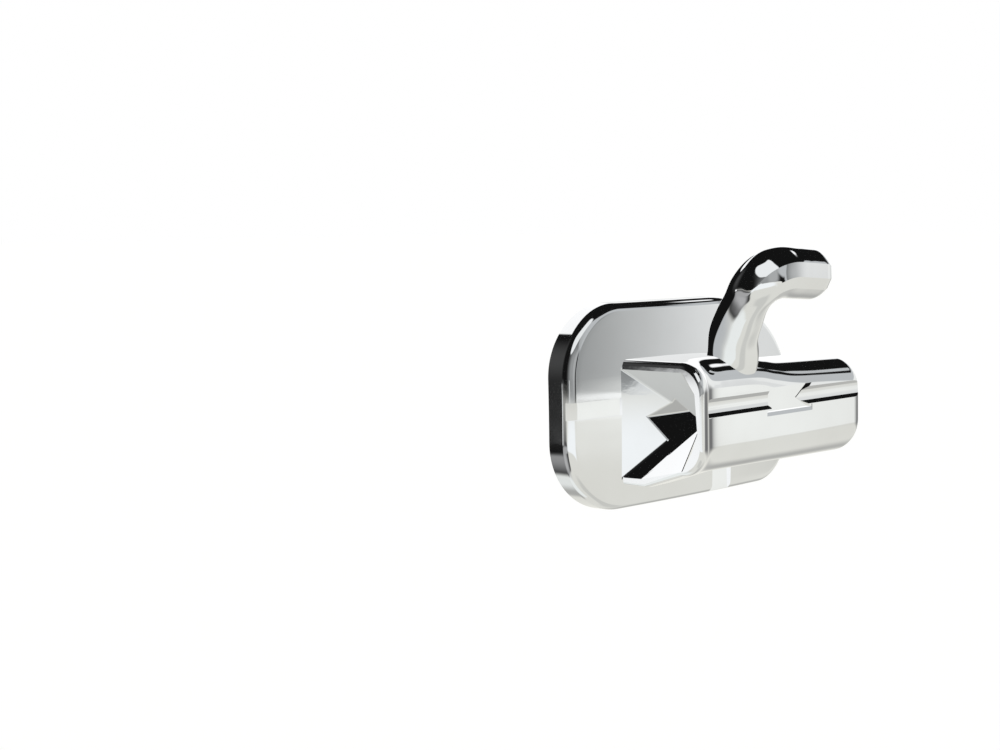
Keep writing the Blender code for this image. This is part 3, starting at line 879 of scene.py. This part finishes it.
def card_group() -> bpy.types.NodeTree:
    """Node group that masks one card: 1 inside it, 0 outside, soft between.

    The offset in longitude is wrapped to half a turn either way, then turned by the lean with
    the offset in latitude. Each offset over its half size is raised to the power, and the root
    of their sum is the distance: 1 on the card's edge.

    Returns:
        The node group.
    """
    tree = bpy.data.node_groups.new("light_card", "ShaderNodeTree")
    for name in ("Longitude", "Latitude", "Card Longitude", "Card Latitude", "Half Width", "Half Height",
                 "Near", "Far", "Power", "Root", "Lean"):
        tree.interface.new_socket(name, in_out="INPUT", socket_type="NodeSocketFloat")
    for name in ("Mask", "Across"):
        tree.interface.new_socket(name, in_out="OUTPUT", socket_type="NodeSocketFloat")
    given = tree.nodes.new("NodeGroupInput").outputs
    result = tree.nodes.new("NodeGroupOutput")
    offset = sum_node(tree, "SUBTRACT", given["Longitude"], given["Card Longitude"])
    across = sum_node(tree, "WRAP", offset, 180.0, -180.0)
    above = sum_node(tree, "SUBTRACT", given["Latitude"], given["Card Latitude"])
    cos, sin = sum_node(tree, "COSINE", given["Lean"]), sum_node(tree, "SINE", given["Lean"])
    wide = sum_node(tree, "ADD", sum_node(tree, "MULTIPLY", across, cos),
                    sum_node(tree, "MULTIPLY", above, sin))
    tall = sum_node(tree, "SUBTRACT", sum_node(tree, "MULTIPLY", above, cos),
                    sum_node(tree, "MULTIPLY", across, sin))
    powers = []
    for way, half in ((wide, given["Half Width"]), (tall, given["Half Height"])):
        share = sum_node(tree, "DIVIDE", sum_node(tree, "ABSOLUTE", way), half)
        powers.append(sum_node(tree, "POWER", share, given["Power"]))
    distance = sum_node(tree, "POWER", sum_node(tree, "ADD", *powers), given["Root"])
    edge = add_node(tree, "ShaderNodeMapRange",
                    {"Value": distance, "From Min": given["Near"], "From Max": given["Far"],
                     "To Min": 1.0, "To Max": 0.0}, interpolation_type="SMOOTHSTEP")
    tree.links.new(edge.outputs[0], result.inputs["Mask"])
    place = sum_node(tree, "DIVIDE", wide, given["Half Width"])
    place = sum_node(tree, "MULTIPLY_ADD", place, 0.5, 0.5)
    tree.links.new(place, result.inputs["Across"])
    return tree


@dataclass(frozen=True)
class Studio:
    """Camera, floor, world and light cards.

    Angles are in degrees, lengths in mm and places in the picture in pixels. The scale is in
    pixels per mm at the target. The floor covers the room's cards below the horizon, and the
    other cards lie over both.
    """

    azimuth: float = 50.63
    elevation: float = 5.71
    roll: float = 0.54
    scale: float = 64.28
    distance: float = 27.6
    target: tuple = (0.815, 0.081, -0.055)
    centre_px: tuple = (694.9, 395.2)
    picture: tuple = (1000.0, 750.0)
    sensor: float = 36.0
    clip: tuple = (0.0005, 10.0)
    floor_z: float = -14.0
    floor_half: float = 1500.0
    floor_glow: float = 0.30
    floor_color: tuple = (0.8, 0.8, 0.79, 1.0)
    floor_roughness: float = 0.9
    ambient: float = 0.75
    key: float = 0.5
    key_spread: float = 35.0
    key_lean: tuple = (28.0, -18.0)
    horizon: float = -5.6
    horizon_soft: float = 0.12
    floor_seen: tuple = (0.88, 0.875, 0.817)
    room_seen: tuple = DARK
    room_cards: tuple = (
        Card("front window", -14.0, -4.0, 46.0, 31.0, (0.61, 0.63, 0.64), 0.03),
        Card("window top", -19.0, 27.0, 11.5, 4.6, (0.62, 0.64, 0.65), 0.03, 6.0),
        Card("beam", -13.0, 25.0, 9.5, 2.4, DARK, 0.12, 4.0, -12.0),
        Card("beam right", 9.0, 27.0, 15.0, 7.0, DARK, 0.05, 4.0),
        Card("window corner", -52.0, 20.0, 19.0, 12.0, (0.62, 0.64, 0.65), 0.12, 3.0),
        Card("window edge", -76.0, 26.0, 32.0, 15.0, (0.61, 0.63, 0.64), 0.12, 3.0, -34.0),
        Card("front lower", -10.0, 3.0, 30.0, 9.0, (1.02, 1.03, 1.01), 0.1, 8.0),
        Card("front dim", -34.0, 0.0, 8.0, 3.6, (0.90, 0.91, 0.90), 0.5, 4.0),
        Card("front fade", -46.0, 2.5, 10.0, 9.5, (0.24, 0.25, 0.25), 0.06, 8.0, 0.0, (0.94, 0.95, 0.94)),
        Card("sill", -48.0, -5.45, 9.0, 0.35, (1.20, 1.21, 1.20), 0.1, 8.0),
        Card("overhead", 90.0, -6.0, 55.0, 54.5, (1.24, 1.24, 1.24), 0.02, 2.0),
        Card("overhead edge", 34.0, 9.5, 12.0, 17.0, (1.20, 1.20, 1.20), 0.12, 2.5),
        Card("spark", 0.0, 38.6, 7.0, 1.9, (1.24, 1.24, 1.24), 0.4),
        Card("right wall", 41.0, 4.0, 3.5, 6.0, (0.86, 0.87, 0.87), 0.3),
        Card("overhead end", 146.0, 30.0, 36.0, 45.0, DARK, 0.03, 4.0),
        Card("left window", -120.0, 8.0, 30.0, 26.0, (0.38, 0.39, 0.39), 0.8, 3.0),
        Card("left mid", -92.0, 5.0, 16.0, 12.0, (0.49, 0.50, 0.50), 0.4, 3.0),
        Card("left lamp", -121.0, 51.0, 44.0, 16.0, (1.04, 1.06, 1.06), 0.05, 4.0, 12.0),
        Card("left wall", -144.5, -5.6, 4.0, 3.0, (0.60, 0.62, 0.62), 0.3, 4.0, 0.0, (1.05, 1.06, 1.06)),
        Card("left spot", -145.95, -4.4, 0.85, 1.15, (0.29, 0.30, 0.30), 0.12),
    )
    cards: tuple = (
        Card("floor fade", -22.0, -7.8, 60.0, 1.3, (0.96, 0.96, 0.91), 0.9, 8.0),
        Card("floor edge", -20.0, -5.9, 26.0, 1.5, (1.09, 1.10, 1.06), 0.35, 8.0),
        Card("floor edge left", -54.0, -6.15, 10.0, 0.6, (1.10, 1.11, 1.07), 0.1, 8.0),
        Card("floor right", 21.0, -36.0, 16.0, 12.0, (0.50, 0.50, 0.48), 0.9),
        Card("floor low", -62.0, -58.0, 76.0, 13.0, (0.72, 0.72, 0.68), 0.3, 4.0),
        Card("under right", 84.0, -50.0, 14.0, 14.0, (0.50, 0.50, 0.48), 0.4),
        Card("back floor", 118.0, -66.0, 30.0, 25.0, (1.02, 1.05, 1.03), 0.3, 3.0),
        Card("stem shade", 100.0, -28.0, 13.0, 13.0, (0.58, 0.60, 0.61), 0.7),
        Card("back dark", 152.0, -26.0, 38.0, 20.0, (0.03, 0.03, 0.03), 0.12, 4.0),
        Card("back glow", 150.0, -30.0, 22.0, 18.0, (0.53, 0.53, 0.53), 0.7, 2.2),
        Card("wall light", 163.0, -15.5, 24.0, 4.5, (0.47, 0.47, 0.47), 0.3, 4.0),
        Card("left floor", -128.0, -12.0, 46.0, 6.0, (1.12, 1.15, 1.16), 0.18, 4.0),
        Card("back flag", 93.5, 4.0, 45.0, 30.0, DARK, 0.03, 4.0),
        Card("back grey", 133.0, 19.0, 11.0, 20.0, (0.068, 0.068, 0.068), 0.9),
        Card("far light", 140.5, -7.4, 3.4, 2.4, (1.16, 1.17, 1.17), 0.2),
        Card("sill shadow", -48.0, -5.62, 8.0, 0.06, (0.05, 0.05, 0.05), 0.4, 8.0),
        Card("waist flag", 4.0, -7.0, 24.0, 5.0, (0.20, 0.20, 0.20), 0.9),
    )

    def camera(self) -> None:
        """Place the camera at the photograph's angle, distance and framing."""
        az, el = math.radians(self.azimuth), math.radians(self.elevation)
        forward = Vector((math.sin(az) * math.cos(el), math.cos(az) * math.cos(el), -math.sin(el)))
        right = Vector((math.cos(az), -math.sin(az), 0.0))
        up = right.cross(forward)
        roll = Matrix.Rotation(-math.radians(self.roll), 3, "Z")
        turn = Matrix((right, up, -forward)).transposed() @ roll
        data = bpy.data.cameras.new("camera")
        wide, high = self.picture
        data.sensor_width = self.sensor
        data.lens = self.scale * self.distance / wide * self.sensor
        data.shift_x = (wide / 2 - self.centre_px[0]) / wide
        data.shift_y = (self.centre_px[1] - high / 2) / wide
        data.clip_start, data.clip_end = self.clip
        obj = bpy.data.objects.new("camera", data)
        place = (Vector(self.target) - forward * self.distance) * MM
        obj.matrix_world = Matrix.Translation(place) @ turn.to_4x4()
        bpy.context.scene.collection.objects.link(obj)
        bpy.context.scene.camera = obj

    def world(self) -> None:
        """White to the camera, an even light on rough things, and the light cards to polished ones."""
        world = bpy.data.worlds.new("studio")
        world.use_nodes = True
        tree = world.node_tree
        tree.nodes.clear()
        path = tree.nodes.new("ShaderNodeLightPath").outputs
        white = (1.0, 1.0, 1.0)
        shown = add_node(tree, "ShaderNodeBackground", {"Color": white, "Strength": self.ambient})
        for ray, color in (("Is Glossy Ray", self.surroundings(tree)), ("Is Camera Ray", white)):
            over = add_node(tree, "ShaderNodeBackground", {"Color": color, "Strength": 1.0})
            shown = add_node(tree, "ShaderNodeMixShader",
                             {0: path[ray], 1: shown.outputs[0], 2: over.outputs[0]})
        add_node(tree, "ShaderNodeOutputWorld", {"Surface": shown.outputs[0]})
        bpy.context.scene.world = world

    def surroundings(self, tree: bpy.types.NodeTree) -> bpy.types.NodeSocket:
        """What polished metal sees: a pale floor, a dark room and the light cards, by direction.

        The longitude is the angle of the direction round +Z from +X, the latitude its height
        above the horizon, both in degrees. Each card is mixed over the ones before it.

        Args:
            tree: the world's node tree.

        Returns:
            The colour socket.
        """
        place = tree.nodes.new("ShaderNodeTexCoord").outputs["Generated"]
        x, y, z = add_node(tree, "ShaderNodeSeparateXYZ", {0: place}).outputs
        lon = sum_node(tree, "MULTIPLY", sum_node(tree, "ARCTAN2", y, x), 180 / math.pi)
        lat = sum_node(tree, "MULTIPLY", sum_node(tree, "ARCSINE", z), 180 / math.pi)
        horizon = add_node(tree, "ShaderNodeMapRange",
                           {"Value": lat, "From Min": self.horizon - self.horizon_soft,
                            "From Max": self.horizon + self.horizon_soft}, interpolation_type="SMOOTHSTEP")
        group = card_group()
        color = self.paint(tree, group, lon, lat, self.room_seen, self.room_cards)
        color = mix_node(tree, horizon.outputs[0], self.floor_seen, color)
        return self.paint(tree, group, lon, lat, color, self.cards)

    def paint(self, tree: bpy.types.NodeTree, group: bpy.types.NodeTree, lon: bpy.types.NodeSocket,
              lat: bpy.types.NodeSocket, under: object, cards: tuple) -> bpy.types.NodeSocket:
        """Lay cards over a colour, one after the other.

        Args:
            tree: the world's node tree.
            group: the card group.
            lon: the direction's longitude.
            lat: its latitude.
            under: the colour to start from, a socket or a value.
            cards: the cards in order.

        Returns:
            The colour socket.
        """
        color = under
        for card in cards:
            place = {"Longitude": lon, "Latitude": lat, **card.sockets()}
            mask = add_node(tree, "ShaderNodeGroup", place, node_tree=group, label=card.name)
            own = mix_node(tree, mask.outputs["Across"], card.color, card.far_color or card.color)
            color = mix_node(tree, mask.outputs["Mask"], color, own)
        return color

    def floor(self) -> None:
        """Pale floor well below the part: it keeps a soft shadow and looks white to the camera."""
        mesh = bpy.data.meshes.new("floor")
        half, z = self.floor_half * MM, self.floor_z * MM
        mesh.from_pydata([(-half, -half, z), (half, -half, z), (half, half, z), (-half, half, z)], [],
                         [(0, 1, 2, 3)])
        obj = bpy.data.objects.new("floor", mesh)
        bpy.context.scene.collection.objects.link(obj)
        mat = bpy.data.materials.new("floor")
        mat.use_nodes = True
        shader = mat.node_tree.nodes["Principled BSDF"]
        shader.inputs["Base Color"].default_value = self.floor_color
        shader.inputs["Roughness"].default_value = self.floor_roughness
        shader.inputs["Specular IOR Level"].default_value = 0.0
        shader.inputs["Emission Color"].default_value = (1, 1, 1, 1)
        path = mat.node_tree.nodes.new("ShaderNodeLightPath")
        glow = sum_node(mat.node_tree, "MULTIPLY", path.outputs["Is Camera Ray"], self.floor_glow)
        mat.node_tree.links.new(glow, shader.inputs["Emission Strength"])
        mesh.materials.append(mat)
        obj.visible_glossy = False

    def lamp(self) -> None:
        """One broad soft lamp high on the hook side, for the shadow on the floor."""
        data = bpy.data.lights.new("key", "SUN")
        data.energy = self.key
        data.angle = math.radians(self.key_spread)
        obj = bpy.data.objects.new("key", data)
        obj.rotation_euler = (math.radians(self.key_lean[0]), math.radians(self.key_lean[1]), 0.0)
        obj.visible_glossy = False
        bpy.context.scene.collection.objects.link(obj)

    def build(self) -> None:
        """Set up the studio."""
        self.camera()
        self.world()
        self.floor()
        self.lamp()
        bpy.context.scene.view_settings.view_transform = "Standard"


def main() -> None:
    """Load the frame, build the part and the studio, and log the part's face count."""
    logging.basicConfig(level=logging.INFO)
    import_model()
    part = BuccalTube().build()
    LOG.info("%s: %d faces", part.name, len(part.data.polygons))
    Studio().build()
    bpy.context.view_layer.update()


if __name__ == "__main__":
    main()
